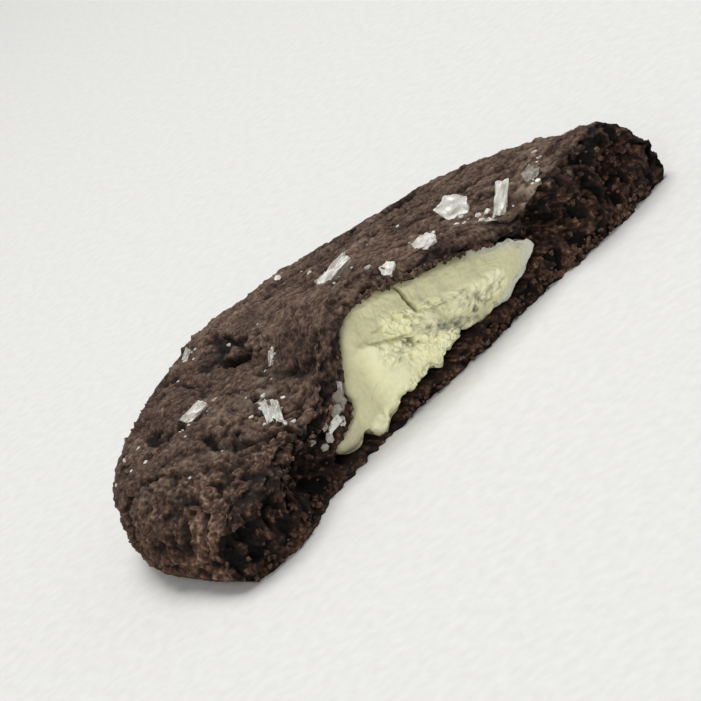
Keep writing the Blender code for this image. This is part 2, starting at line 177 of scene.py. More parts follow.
# Creases in the crust, as x and y, with their width and depth, and small pits with their size
CRUST_CREASES = [([(-5.8, 31.0), (-7.9, 24.6), (-7.9, 20.7)], 1.1, 1.1),
                 ([(-10.2, 24.6), (-10.5, 20.7), (-10.1, 17.2)], 0.9, 1.1),
                 ([(-13.0, 31.2), (-10.2, 29.4), (-8.3, 26.5)], 0.6, 0.7),
                 ([(-12.9, 13.8), (-12.8, 6.9), (-12.4, 2.0)], 0.7, 0.6),
                 ([(-13.9, 24.9), (-15.4, 21.0), (-17.7, 17.5)], 0.5, 0.5),
                 ([(-24.4, 20.7), (-26.1, 16.1), (-24.9, 15.2)], 1.0, 1.2),
                 ([(-23.9, 14.4), (-20.9, 16.9)], 0.9, 1.1),
                 ([(-24.4, 9.1), (-25.2, 6.6), (-24.3, 3.8), (-22.2, 2.1), (-19.6, 1.6)], 0.9, 1.1),
                 ([(-29.4, 11.2), (-27.5, 10.1)], 0.5, 0.6),
                 ([(-33.8, 12.8), (-31.7, 10.4), (-29.7, 6.0)], 0.5, 0.6),
                 ([(13.4, 20.0), (15.6, 14.8), (18.7, 10.4)], 0.5, 0.5),
                 ([(4.1, 22.0), (7.3, 18.6), (10.4, 19.2), (14.7, 21.0)], 1.1, 0.9),
                 ([(26.1, 19.2), (30.3, 20.4)], 0.7, 0.9),
                 ([(9.0, 13.5), (13.0, 11.0), (15.2, 7.4)], 0.8, 0.7),
                 ([(20.5, 15.5), (24.8, 12.2), (28.0, 10.8)], 0.8, 0.7)]
CRUST_PITS = [(-35.3, 0.3, 0.8), (-37.8, 2.9, 0.6), (-22.7, 5.6, 0.5), (-28.2, 15.4, 0.5),
              (31.6, 12.2, 0.5)]
CRUST_PIT_DEPTH = 1.2

# Splits down the rim: angle round the cookie, height, width
RIM_SPLITS = [(38, 8.0, 1.5), (66, 7.0, 1.2), (101, 8.5, 1.6), (131, 6.5, 1.3), (157, 7.5, 1.5)]
SPLIT_DEPTH = 1.8
SPLIT_MIDDLE = 0.55

# The shift from one pattern of bumps to the next, and from one pattern of crumbs to the next
NOISE_STEP = (17.3, 5.1, 9.7)
CRUMB_STEP = (7.7, 3.1, 11.3)

# Lengths too small to see, in shares of a block and in metres
TINY = 1e-6
FLAT = 1e-9

# The baked skin's wrinkles run this way, in degrees. The sizes of its relief, in mm
WRINKLE_TURN = 33.0
PILLOW_SIZE = 1.9
FOLD_SIZE = 0.85
GRIT_SIZE = 0.6
FINE_GRIT_SIZE = 0.38
WRINKLE_SIZE = 2.6
SKIN_PIT_SIZE = 1.5

# Torn dough: size and height of its crumbs, and size, start and depth of the pits between them
TORN_CRUMBS = [(0.9, 0.6), (0.5, 0.5)]
TORN_PITS = [(1.9, 0.10, 1.0), (0.9, 0.15, 0.6)]

# Where the skin ends in coarse crumb: x along the break, and how far back the crumb reaches
COARSE_REACH = [(-42, 14.0), (-36, 9.5), (-30, 5.5), (-24, 3.0), (-19, 1.2), (-14, -1.5),
                (0, -3.0), (24, -3.0), (29, 0.6), (36, 1.6), (42, 2.5)]

# How far the dough is sunk behind the filling, and between which shares of its outline it turns in
POCKET_SUNK = 4.5
POCKET_EDGE = (1.02, 1.08)

# Loose crumbs: how many on the break and by the lip, where along the break, the share of the
# filling's outline that they keep clear of, and their smallest radius and how much it grows
LOOSE_CRUMBS = 640
LIP_CRUMBS = 90
CRUMB_SPAN = (-35.5, 37.5)
CRUMBS_CLEAR = 1.16
CRUMB_RADIUS = 0.13
CRUMB_GROWTH = 0.26

# The flake that is two bars grown together
PAIRED_FLAKE = (-18.6, 4.4)

# How white each flake is: 1 clear crystal, 0 brown with dough
FLAKE_WHITE = [1.0, 0.95, 0.7, 0.85, 0.9, 0.7, 1.0, 0.8, 0.7, 0.9, 0.45, 0.95, 0.2]

# Film beside the filling's tail: x, z, length, width, thickness, turn, whiteness. It stands a little
# proud of the break and leans almost upright
FILM = [(-13.4, 7.1, 2.5, 1.6, 0.35, 60, 0.1), (-14.6, 6.6, 2.0, 1.3, 0.35, 15, 0.2),
        (-12.4, 8.1, 1.7, 0.6, 0.3, 70, 0.45), (-15.1, 5.6, 2.0, 1.0, 0.6, 25, 0.95),
        (-14.2, 5.2, 1.1, 0.7, 0.5, 70, 0.8), (-16.3, 4.6, 1.1, 0.8, 0.5, 75, 0.5),
        (-17.2, 4.0, 0.9, 0.7, 0.4, 20, 0.4), (-18.3, 5.4, 0.8, 0.6, 0.5, 10, 0.35),
        (-16.4, 6.1, 0.9, 0.6, 0.4, 50, 0.3)]
FILM_PROUD = 0.15
FILM_LEAN = 82

# Salt grains: how many are scattered, and how many lie by each flake. The strip of them by the lip:
# where it begins and ends, its step, and its line. Grains at places of their own
SCATTERED_GRAINS = 36
GRAINS_BY_FLAKE = 5
GRAIN_STRIP = (14.8, 19.4, 0.4)
STRIP_START = 11.2
STRIP_SLOPE = 0.38
GRAIN_PLACES = [(38.2, 2.0), (38.6, 3.4), (37.5, 1.2), (-25.7, 5.4), (29.2, 25.8), (12.0, 19.0)]

# How finely flakes and grains are meshed
FLAKE_DETAIL = 4
GRAIN_DETAIL = 2

# Dried brine that dulls the crust beside the flakes: x, y, radius, strength
BRINE = [(24.3, 2.0, 2.4, 0.9), (22.6, 1.4, 1.8, 0.7), (-16.4, 8.6, 2.0, 0.6), (1.5, 9.5, 2.6, 0.4),
         (17.0, 5.6, 2.6, 0.6), (-25.7, 5.4, 1.4, 0.7), (-14.0, 10.0, 1.6, 0.4), (8.0, 2.0, 1.8, 0.4),
         (-20.0, 15.0, 1.8, 0.25), (31.0, 8.0, 2.5, 0.3)]

# Sizes of the materials' patterns, in mm. Cloud in salt and fibre in paper are finer than this in
# the real ones, and are drawn coarse enough to show
DOUGH_PATCH = 5.263
DOUGH_SPECK = 0.5263
DOUGH_GRIT = 0.3846
CHOCOLATE_CLOUD = 3.846
CHOCOLATE_GRAIN = 0.4545
SALT_CLOUD = 1.111
PAPER_FIBRE = 1.4286

# How finely the dough and the filling are meshed
DOUGH_CELLS = (330, 118, 50)
FILLING_CELLS = (200, 120, 40)

# Camera: the angle and distance of the photo, round the middle of the break, and what it aims at
VIEW_AZIMUTH = -33.0
VIEW_ELEVATION = 20.3
VIEW_ROLL = 30.5
VIEW_DISTANCE = 0.300
AIM = (-0.004, -0.006, 0.006)
PHOTO_FOCAL_PIXELS = 1245.0
CLOSER = 2.2
FRAME_PIXELS = 701
SENSOR = 36.0
NEAREST = 0.01

# Soft lights: place, width and power. The room's own light, and the floor's half width
OVERHEAD = ((0.12, 0.10, 0.95), 0.7, 7.0)
FRONT_FILL = ((-0.75, -0.75, 0.45), 0.8, 5.0)
ROOM_LIGHT = 0.3
FLOOR_REACH = 3.0


def through(points, x):
    """A smooth curve through the named points, read at x."""
    knots = np.array(points, float)
    xs, ys = knots[:, 0], knots[:, 1]
    slope = np.gradient(ys, xs)
    x = np.clip(x, xs[0], xs[-1])
    i = np.clip(np.searchsorted(xs, x, side="right") - 1, 0, len(xs) - 2)
    step = xs[i + 1] - xs[i]
    t = (x - xs[i]) / step
    start = (1 + 2 * t) * (1 - t) ** 2 * ys[i] + t * (1 - t) ** 2 * step * slope[i]
    end = t * t * (3 - 2 * t) * ys[i + 1] - t * t * (1 - t) * step * slope[i + 1]
    return start + end


def ease(low, high, x):
    """0 below low, 1 above high, smooth in between."""
    t = np.clip((x - low) / (high - low), 0, 1)
    return t * t * (3 - 2 * t)


def rough(points, size, seed):
    """Soft noise between about -1 and 1, with bumps of the given size in mm."""
    shift = Vector(NOISE_STEP) * seed
    return np.array([noise.noise(Vector(p) / size + shift) for p in points.tolist()])


def bumps(points, layers, seed):
    """Several sizes of bump together, in mm."""
    return sum(rough(points, size, seed + n) * height for n, (size, height) in enumerate(layers))


def grains(points, size, seed):
    """How near a point is to the middle of its crumb: 1 at the middle, about 0 between crumbs."""
    shift = Vector([step * seed for step in CRUMB_STEP])
    return np.array([1 - noise.voronoi(Vector(p) / size + shift)[0][0] for p in points.tolist()])


def chips(points, size, seed):
    """Height of crumbled chocolate, 0 to 1: flat, tilted chips with steep sides."""
    shift = Vector([step * seed for step in CRUMB_STEP])
    heights = []
    for p in points.tolist():
        spot = Vector(p) / size + shift
        middle = noise.voronoi(spot)[1][0]
        level = (middle.x * 3.7 + middle.y * 5.3 + middle.z * 2.9) % 1
        tilt = (middle.x * 8.1 + middle.z * 4.7) % (2 * math.pi)
        slope = (spot.x - middle.x) * math.cos(tilt) + (spot.z - middle.z) * math.sin(tilt)
        heights.append(level + 0.6 * slope)
    return np.array(heights)


def cookie_radius(angle):
    """The outline seen from above, a little uneven as baked dough is."""
    waves = sum(height * np.cos(count * angle - start) for count, height, start in OUTLINE_WAVES)
    place, height, spread = OUTLINE_CORNER
    return COOKIE_RADIUS + waves + height * np.exp(-((angle - place) / spread) ** 2)


def rim_reach(angle, w):
    """Distance out to the rim at a share w of the way up it."""
    tip, tip_spread = TIP_DRAWN_IN
    tail, tail_spread = TAIL_DRAWN_IN
    over = tip * np.exp(-(angle / tip_spread) ** 2) * ease(0.3, 1.0, w)
    under = tail * np.exp(-((math.pi - angle) / tail_spread) ** 2) * (1 - ease(0.0, 0.35, w))
    share = through([(k, r) for k, r, z in RIM_PROFILE], w) - over - under
    return share * cookie_radius(angle)


def at(measure, *place):
    """A height or distance at one place."""
    return float(measure(*(np.array([value]) for value in place))[0])


def crust_height(x, y):
    """Height of the baked top at a place on the cookie."""
    depth = np.maximum(y, 0)
    front = through(CRUST_AT_BREAK, x * (1 + HUMP_NARROWING * depth))
    swell, swell_x, swell_y = CRUST_SWELL
    flat = EDGE_THICKNESS - swell * np.cos(x / swell_x + y / swell_y)
    rise = np.maximum(front - flat, 0) * np.exp(-(depth / HUMP_LENGTH) ** 2)
    sink = np.minimum(front - flat, 0) * np.exp(-(depth / SINK_LENGTH) ** 2)
    drop, begin, end = RIM_DROP
    return (flat + rise + sink) * (1 - drop * ease(begin, end, np.hypot(x, y) / COOKIE_RADIUS))


def crust_facing(x, y):
    """The direction that the crust faces at a place on the cookie."""
    reach = 0.3
    east = crust_height(x + reach, y) - crust_height(x - reach, y)
    north = crust_height(x, y + reach) - crust_height(x, y - reach)
    facing = np.stack([-east, -north, np.full(len(x), 2 * reach)], 1)
    return facing / np.linalg.norm(facing, axis=1, keepdims=True)


def disc_place(u, v):
    """Square coordinates to an angle and a share of the radius, with even spacing."""
    share = np.maximum(np.abs(u), np.abs(v))
    side = np.abs(u) >= np.abs(v)
    safe_u = np.where(np.abs(u) < TINY, TINY, u)
    safe_v = np.where(np.abs(v) < TINY, TINY, v)
    angle = np.where(side, math.pi / 4 * v / safe_u, math.pi / 2 - math.pi / 4 * u / safe_v)
    opposite = np.where(side, u < 0, v < 0)
    return angle + math.pi * opposite, share


def block(name, cells):
    """A cube from -1 to 1 with the given number of cells along each axis."""
    mesh = bpy.data.meshes.new(name)
    shape = bmesh.new()
    bmesh.ops.create_cube(shape, size=2)
    for axis, count in enumerate(cells):
        ring = [e for e in shape.edges
                if abs(abs((e.verts[0].co - e.verts[1].co)[axis]) - 2) < TINY]
        bmesh.ops.subdivide_edges(shape, edges=ring, cuts=count - 1, use_grid_fill=True)
    shape.to_mesh(mesh)
    shape.free()
    return mesh


def read_points(mesh):
    """The mesh's points, a row each."""
    flat = np.empty(len(mesh.vertices) * 3)
    mesh.vertices.foreach_get("co", flat)
    return flat.reshape(-1, 3)


def write_points(mesh, points):
    """Puts points in mm back into the mesh, in metres."""
    mesh.vertices.foreach_set("co", (points * MM).ravel())
    mesh.update()


def store(mesh, name, values):
    """Keeps a number for each point, which a material can read."""
    layer = mesh.attributes.new(name, "FLOAT", "POINT")
    layer.data.foreach_set("value", np.asarray(values, np.float32))


def outline_radius(angle):
    """Distance from the filling's centre to its outline at the break."""
    spokes = [(math.atan2(z - FILLING_CENTRE[1], x - FILLING_CENTRE[0]),
               math.hypot(x - FILLING_CENTRE[0], z - FILLING_CENTRE[1])) for x, z in FILLING_OUTLINE]
    spokes.sort()
    turn = 2 * math.pi
    before = [(a - turn, r) for a, r in spokes[-3:]]
    after = [(a + turn, r) for a, r in spokes[:3]]
    return through(before + spokes + after, angle)


def break_offset(x, z, top):
    """How far the broken face stands from Y = 0 at a place on it."""
    level = np.clip(z / top, 0, 1)
    back = LIP_BACK * ease(0.80, 1.0, level)
    swell = LIP_SWELL * ease(0.72, 0.90, level) * (1 - ease(0.92, 1.0, level))
    offset = through(BREAK_LINE, x) + back - swell
    for hx, hz, depth, width, height in HOLLOWS:
        offset = offset + depth * np.exp(-((x - hx) / width) ** 2 - ((z - hz) / height) ** 2)
    return offset


def filling_share(x, z):
    """Distance from the filling's centre as a share of its outline: 1 on the outline."""
    dx, dz = x - FILLING_CENTRE[0], z - FILLING_CENTRE[1]
    return np.hypot(dx, dz) / outline_radius(np.arctan2(dz, dx))


def pocket_depth(x, z):
    """The pocket that the filling sits in, as a share of its depth."""
    return 1 - ease(*POCKET_EDGE, filling_share(x, z))


def groove(x, z, path, width):
    """1 on a line across the face, 0 further from it than its width."""
    nearest = np.full(len(x), 99.0)
    for (x0, z0), (x1, z1) in zip(path, path[1:]):
        dx, dz = x1 - x0, z1 - z0
        t = np.clip(((x - x0) * dx + (z - z0) * dz) / (dx * dx + dz * dz), 0, 1)
        nearest = np.minimum(nearest, np.hypot(x - x0 - t * dx, z - z0 - t * dz))
    return 1 - ease(0, width, nearest)


def crack_depth(points):
    """How deep the cracks, creases and pits run at each point of the crust, in mm."""
    depth = np.zeros(len(points))
    x, y = points[:, 0], points[:, 1]
    bend = rough(points, 1.6, 48) * 0.7
    for path, width, deep in CRUST_CREASES:
        depth = np.maximum(depth, deep * groove(x + bend, y + bend, path, width))
    for px, py, size in CRUST_PITS:
        pit = 1 - ease(0.4 * size, size, np.hypot(x - px, y - py))
        depth = np.maximum(depth, CRUST_PIT_DEPTH * pit)
    wander = rough(points, 3.0, 21) * 0.7 + rough(points, 1.0, 23) * 0.35
    for middle_x, middle_y, length, width, turn in CRACKS:
        c, s = math.cos(math.radians(turn)), math.sin(math.radians(turn))
        dx, dy = x - middle_x, y - middle_y
        along = (dx * c + dy * s) / (length / 2)
        across = (dy * c - dx * s + wander) / (width / 2)
        depth = np.maximum(depth, CRACK_DEPTH * ease(0.1, 0.65, 1 - along ** 2 - np.abs(across)))
    return depth


def split_depth(points, angle):
    """How deep the splits run down the rim, in mm."""
    depth = np.zeros(len(points))
    wander = rough(points, 2.5, 22) * 1.1 + rough(points, 0.8, 25) * 0.5
    for turn, height, width in RIM_SPLITS:
        across = ((angle - math.radians(turn)) * COOKIE_RADIUS + wander) / (width / 2)
        up = (points[:, 2] - SPLIT_MIDDLE * EDGE_THICKNESS) / (height / 2)
        depth = np.maximum(depth, SPLIT_DEPTH * np.clip(1 - across ** 2 - up ** 2, 0, 1) ** 0.6)
    return depth


def wrinkled_skin(points):
    """Height of the baked skin in mm: soft pillows drawn out one way, with sharp creases between."""
    turned = points @ np.array(Matrix.Rotation(math.radians(WRINKLE_TURN), 3, "Z")).T
    turned[:, 1] += rough(turned, 9.0, 31) * 3.5 + rough(turned, 3.0, 34) * 0.8
    upper = ease(-14, -6, points[:, 0])
    grittier = 1 - ease(-20, -4, points[:, 0])
    flank = np.exp(-((points[:, 0] + 12) / 5) ** 2 - (points[:, 1] / 14) ** 2)
    pillows = np.abs(rough(turned * np.array([0.34, 1, 1]), PILLOW_SIZE, 32)) * (0.45 + 0.25 * upper)
    folds = np.abs(rough(turned * np.array([0.5, 1, 1]), FOLD_SIZE, 33)) * (0.38 - 0.25 * flank)
    grit = rough(points, GRIT_SIZE, 37) + rough(points, FINE_GRIT_SIZE, 39) * 0.7
    grit = grit * (0.14 + 0.14 * grittier)
    crease = rough(turned * np.array([0.30, 1, 1]), WRINKLE_SIZE, 35)
    here = ease(-0.2, 0.1, rough(points, 6.0, 36))
    lines = np.clip(1 - np.abs(crease) / (0.08 + 0.04 * upper), 0, 1) * here * (0.75 + 0.25 * upper)
    pits = ease(0.30, 0.52, rough(points, SKIN_PIT_SIZE, 38)) * 0.5
    return pillows + folds + grit - lines - pits - 0.22


def crumbly(points):
    """Height of torn or coarse dough in mm: packed crumbs with pits between them."""
    bent = points + np.stack([rough(points, 1.6, seed) for seed in (41, 42, 43)], 1) * 0.7
    height = -0.45
    for number, (size, tall) in enumerate(TORN_CRUMBS):
        height = height + grains(bent, size, 6 + number) * tall
    for number, (size, begin, deep) in enumerate(TORN_PITS):
        height = height - ease(begin, begin + 0.3, rough(bent, size, 8 + 2 * number)) * deep
    return height


def coarse_crust(points):
    """1 where the skin ends in coarse crumb, by the tail of the break, and 0 on whole skin."""
    x, y, z = points.T
    edge = rough(points, 5.0, 44) * 2.5 + rough(points, 1.5, 45) * 1.6
    reach = through(COARSE_REACH, x) + edge
    return ease(-1.0, 1.0, reach - y - 0.35 * np.maximum(z - 9.5, 0))


def brine_marks(points):
    """1 where dried brine lies on the crust, 0 on bare dough."""
    marks = np.zeros(len(points))
    patchy = ease(-0.25, 0.35, rough(points, 1.2, 47))
    for x, y, radius, strength in BRINE:
        near = np.exp(-((points[:, 0] - x) ** 2 + (points[:, 1] - y) ** 2) / radius ** 2)
        marks = np.maximum(marks, near * strength)
    return marks * patchy


def shape_dough():
    """A block bent into half a cookie: one side is the break, three are the rim."""
    mesh = block("cookie_dough", DOUGH_CELLS)
    u, v, w = read_points(mesh).T
    v = ((v + 1) / 2) ** 1.5
    w = (w + 1) / 2
    front = v < TINY
    crown = w > 1 - TINY
    angle, share = disc_place(u, v)
    rim = (share > 1 - TINY) & ~front
    reach = rim_reach(angle, w)
    x = share * reach * np.cos(angle)
    y = share * reach * np.sin(angle)
    top = crust_height(x, y)
    facing = crust_facing(x, y)
    behind_lip = ease(0, 1.5, y)
    z = through([(k, rise) for k, r, rise in RIM_PROFILE], w) * top
    edge_offset = through(BREAK_LINE, x) + np.where(crown, LIP_BACK, 0)
    blend = np.exp(-(y / BREAK_BLEND) ** 2)
    place = np.stack([x, y, z], 1)
    fray = (rough(place, 1.5, 51) * 0.7 + rough(place, 0.7, 52) * 0.5) * np.where(front, 1, 0)
    pocket = np.where(front, pocket_depth(x + fray, z + fray * ease(5, 8, z)), 0)
    y = y + np.where(front, break_offset(x, z, top) + POCKET_SUNK * pocket, edge_offset * blend)
    points = np.stack([x, y, z], 1)
    away = ease(0.02, 0.3, w)

    crumb = bumps(points, CRUMB_BUMPS, CRUMB_SEED)
    crust = bumps(points, CRUST_BUMPS, CRUST_SEED)
    bulge = bumps(points, RIM_BUMPS, RIM_SEED)
    skin = wrinkled_skin(points)
    torn = crumbly(points)
    coarse = np.where(front, 0, coarse_crust(points))
    cracks = np.where(crown, crack_depth(points), 0)
    splits = np.where(rim, split_depth(points, angle), 0)
    above = z - (FILLING_CENTRE[1] + 1.5)
    side = 0.45 + 0.55 * ease(-9, -6, x)
    along = ease(-16, -13, x) * (1 - ease(15, 18, x))
    lip = np.where(front, ease(0, 1.5, above) * side * along, 0)
    lip = lip * ease(*POCKET_EDGE, filling_share(x, z))
    broken = np.where(front, 1 - lip, coarse * 0.8)

    skin_part = (1 - coarse) * skin + coarse * (torn * 0.75 + 0.1)
    face_part = (1 - lip) * torn + lip * (skin * 0.6)
    tip = ease(26, 34, x) * ease(3, 7, z)
    hole = 1.6 * tip * ease(0.0, 0.45, rough(points, 2.4, 53))
    still = FOOT_RELIEF + (1 - FOOT_RELIEF) * away
    face_out = (face_part - crumb * (1 - lip * 0.6) - hole) * still * (1 - pocket)
    ragged = rough(points, 1.1, 46) * 0.9 * (1 - away) * np.where(front, 1, 0)
    points[:, 1] -= np.where(front, face_out + ragged, 0)
    lift = np.where(crown, crust + skin_part - cracks, 0)
    points[:, 0] += lift * facing[:, 0] * behind_lip
    points[:, 1] += lift * facing[:, 1] * behind_lip
    points[:, 2] += lift * (1 - behind_lip * (1 - facing[:, 2]))
    outward = np.where(rim, (bulge + skin_part * 1.1 - splits) * away, 0)
    points[:, 0] += outward * np.cos(angle)
    points[:, 1] += outward * np.sin(angle)
    points[:, 2] = np.maximum(points[:, 2], 0)
    write_points(mesh, points)
    # The material paints the dough darker where this height is low: painted shade in creases, cracks,
    # splits and pits
    height = np.where(front, face_part - 0.5 * np.abs(crumb), skin_part - cracks - splits)
    store(mesh, "broken", broken)
    store(mesh, "height", height)
    store(mesh, "brine", np.where(crown, brine_marks(points), 0))
    clear_base(mesh)
    return mesh


def clear_base(mesh):
    """Joins the flat base's cells into one face."""
    shape = bmesh.new()
    shape.from_mesh(mesh)
    flat = [f for f in shape.faces if max(v.co.z for v in f.verts) < FLAT]
    joined = bmesh.ops.dissolve_faces(shape, faces=flat)["region"]
    bmesh.ops.triangulate(shape, faces=joined)
    shape.to_mesh(mesh)
    shape.free()


def below_ledge(x, z):
    """1 below the ledge across the filling, 0 above it."""
    return ease(-0.35, 0.35, through(FILLING_LEDGE, x) - z) * ease(-9.0, -6.5, x)


def shape_filling():
    """The chunk of white chocolate: smooth rolled skin at its rim, crumbly where it tore."""
    mesh = block("white_chocolate", FILLING_CELLS)
    p, q, w = read_points(mesh).T
    w = (w + 1) / 2
    face = w < TINY
    angle, share = disc_place(p, q)
    angle = np.where(angle > math.pi, angle - 2 * math.pi, angle)
    side = share > 1 - TINY
    turn = np.where(side, w * math.pi / 4, math.pi / 2 - share * math.pi / 4)
    radius = outline_radius(angle)
    across = np.where(face, share, np.cos(turn) ** DOME_ACROSS) * radius
    inward = np.where(face, 0, np.sin(turn) ** DOME_ALONG)
    x = FILLING_CENTRE[0] + across * np.cos(angle) - FILLING_DRIFT * inward
    z = FILLING_CENTRE[1] + across * np.sin(angle) * (1 - FILLING_TAPER * inward)
    y = FILLING_SETBACK + inward * FILLING_DEPTH
    points = np.stack([x, y, z], 1)
    lumps = bumps(points, FILLING_BUMPS, FILLING_SEED)
    bend = rough(points, 1.5, 18) * 0.6 + rough(points, 0.7, 19) * 0.35
    ledge = below_ledge(x + bend, z + bend)
    middle = groove(x + bend, z, TORN_BAND, BAND_WIDTH)
    middle = np.maximum(middle, groove(x, z + bend, TORN_LOBE, LOBE_WIDTH))
    middle = np.maximum(middle, groove(x + bend, z, TORN_FOOT, FOOT_WIDTH))
    middle = ease(0.05, 0.7, middle) * ease(-0.8, -0.1, rough(points, 1.9, 20))
    torn = 0.4 - chips(points, CHIP_SIZE, 14) * 0.4 - chips(points, FINE_CHIP_SIZE, 24) * 0.4
    torn = torn + rough(points, 0.3, 15) * 0.35
    smooth = rough(points, 1.8, 16) * 0.14 + rough(points, 0.6, 17) * 0.12
    smooth = smooth + rough(points, 0.35, 27) * 0.08
    cut = np.zeros(len(points))
    for path, width, depth in CHOCOLATE_CREASES:
        cut = np.maximum(cut, depth * groove(x + bend * 0.5, z + bend * 0.3, path, width))
    for px, pz, size in FILLING_PITS:
        pit = 1 - ease(0.3 * size, size, np.hypot(x - px + bend * 0.4, z - pz))
        cut = np.maximum(cut, FILLING_PIT_DEPTH * pit)
    relief = torn * middle + smooth + cut
    for nx, nz, out, size in NUBS:
        relief -= out * np.exp(-((x - nx) / size) ** 2 - ((z - nz) / size) ** 2)
    inside = 1 - share ** 8
    skin_side = np.maximum(ease(0.5, 3.0, z - 7.5), ease(-6.0, -9.0, x))
    rolled = (0.25 + 0.75 * skin_side) * ROLL_HEIGHT * (np.clip(share - 0.82, 0, 1) / 0.18) ** 2.4
    step = LEDGE_STEP * ledge * inside
    sunk = lumps * 0.8 * (1 - share ** 4) + relief * inside + rolled - step + 0.1
    points[:, 1] += np.where(face, sunk, 0)
    ragged = (1 - skin_side) * ease(0.6, 1.0, share) * (face | side) * np.exp(-(w / EDGE_REACH) ** 2)
    points[:, 0] += ragged * rough(points, 1.0, 28) * 0.5
    points[:, 2] += ragged * rough(points, 1.0, 29) * 0.5
    for lx, lz, push_x, push_z, size in EDGE_LOBES:
        near = np.exp(-((x - lx) / size) ** 2 - ((z - lz) / size) ** 2)
        near = near * np.exp(-(w / EDGE_REACH) ** 2)
        points[:, 0] += push_x * near
        points[:, 2] += push_z * near
    # Greyer towards the tail and along the top rim, under the crust's lip
    greyed = np.maximum(ease(-10.5, -15.0, x) * 0.8, ease(0.9, 1.0, share) * ease(7.5, 9.0, z) * 0.6)
    write_points(mesh, points)
    mesh.flip_normals()
    store(mesh, "torn", np.where(face, np.maximum(middle, 0.55 * ledge), 0))
    # The material paints the tear darker where this is deep: painted shade in its creases, pits and low
    # chips
    store(mesh, "low", np.where(face, torn * middle + cut, 0))
    store(mesh, "bloom", ease(0.84, 1.0, share) * ease(8.5, 13.0, x) * (1 - ease(0.2, 0.5, w)))
    store(mesh, "greyed", greyed * (0.7 + 0.6 * rough(points, 1.2, 26)))
    store(mesh, "skin", np.where(face, np.maximum(ease(0.6, 1.0, share), 1 - ledge) * (1 - middle), 1))
    return mesh


def flake_axes(turn, lean):
    """The plate's length, width and thickness directions."""
    heading = Matrix.Rotation(math.radians(FLAKES_FACE), 3, "Z")
    tipped = Matrix.Rotation(math.radians(lean), 3, "X")
    spun = Matrix.Rotation(math.radians(turn), 3, "Z")
    return heading @ tipped @ spun


def salt_plate(shape, centre, axes, length, width, thick, dice, detail):
    """One crystal: a broken plate with straight chipped sides and stepped faces."""
    made = bmesh.ops.create_icosphere(shape, subdivisions=detail, radius=1.0)["verts"]
    if length > 1.9 * width:
        corners, start = 4, 0.125 + dice.uniform(-0.03, 0.03)
        reach = [dice.uniform(1.2, 1.4) for _ in range(corners)]
    else:
        corners, start = dice.randint(5, 7), dice.uniform(0, 1)
        reach = [dice.uniform(0.95, 1.25) for _ in range(corners)]
    offset = Vector((dice.uniform(0, 50), dice.uniform(0, 50), 0))
    for corner in made:
        spoke = (math.atan2(corner.co.y, corner.co.x) / (2 * math.pi) + start) % 1 * corners
        bend = (spoke % 1 - 0.5) * 2 * math.pi / corners
        side = math.cos(math.pi / corners) / math.cos(bend) * reach[int(spoke) % corners]
        out = math.hypot(corner.co.x, corner.co.y)
        share = min(1, out * 1.3)
        flat = 0.5 * math.copysign(1 - max(0, (out - 0.77) / 0.23), corner.co.z)
        bump = noise.noise(corner.co * 2.4 + offset)
        step = round(bump * 4) * 0.13
        grow = share * side / max(out, TINY) * (1 + bump * 0.15)
        corner.co = Vector((corner.co.x * grow, corner.co.y * grow, flat + step))
    size = Matrix.Diagonal((length / 2, width / 2, thick))
    place = Matrix.Translation(centre) @ (axes @ size).to_4x4()
    bmesh.ops.transform(shape, matrix=place, verts=made)


def surface_tree(mesh):
    """The mesh's surface in mm, for finding the ground under a grain."""
    places = [v.co / MM for v in mesh.vertices]
    return BVHTree.FromPolygons(places, [f.vertices[:] for f in mesh.polygons])


def ground_at(tree, x, y):
    """The top of the crust at a place."""
    return tree.ray_cast(Vector((x, y, 2 * EDGE_THICKNESS)), Vector((0, 0, -1)))[0]


def shape_flakes(tree):
    """Flaky salt on the crust, the large flakes where the solid has them, and how clean each is."""
    dice = random.Random(4)
    shape = bmesh.new()
    clean = []
    for (x, y, length, width, turn, lean), white in zip(FLAKES, FLAKE_WHITE):
        axes = flake_axes(turn, lean)
        size = axes @ Matrix.Diagonal((length / 2, width / 2, FLAKE_THICKNESS))
        steep = Vector((size[2][0], size[2][1], 0)).normalized()
        foot = -(size @ steep)
        centre = ground_at(tree, x + foot.x, y + foot.y) - foot - Vector((0, 0, FLAKE_SUNK))
        if (x, y) == PAIRED_FLAKE:
            plates = [(centre + axes @ Vector((side * 0.2, side * width * 0.24, 0)), 0.9, 0.36, 1.0)
                      for side in (-1, 1)]
            plates.append((centre, 0.5, 0.6, 0.8))
        else:
            plates = [(centre, 1.0, 1.0, 1.0)]
        for middle, long, wide, thick in plates:
            salt_plate(shape, middle, axes, length * long, width * wide, FLAKE_THICKNESS * thick, dice,
                       FLAKE_DETAIL)
        clean += [white] * (len(shape.verts) - len(clean))
    return shape, clean


def shape_film():
    """Dried brine and small crystals that bridge the dough and the filling's tail."""
    dice = random.Random(21)
    shape = bmesh.new()
    clean = []
    for x, z, length, width, thick, turn, white in FILM:
        y = at(break_offset, x, z, at(crust_height, x, 0.0)) - FILM_PROUD
        axes = flake_axes(turn, FILM_LEAN)
        salt_plate(shape, Vector((x, y, z)), axes, length, width, thick, dice, FLAKE_DETAIL)
        clean += [white] * (len(shape.verts) - len(clean))
    return shape, clean


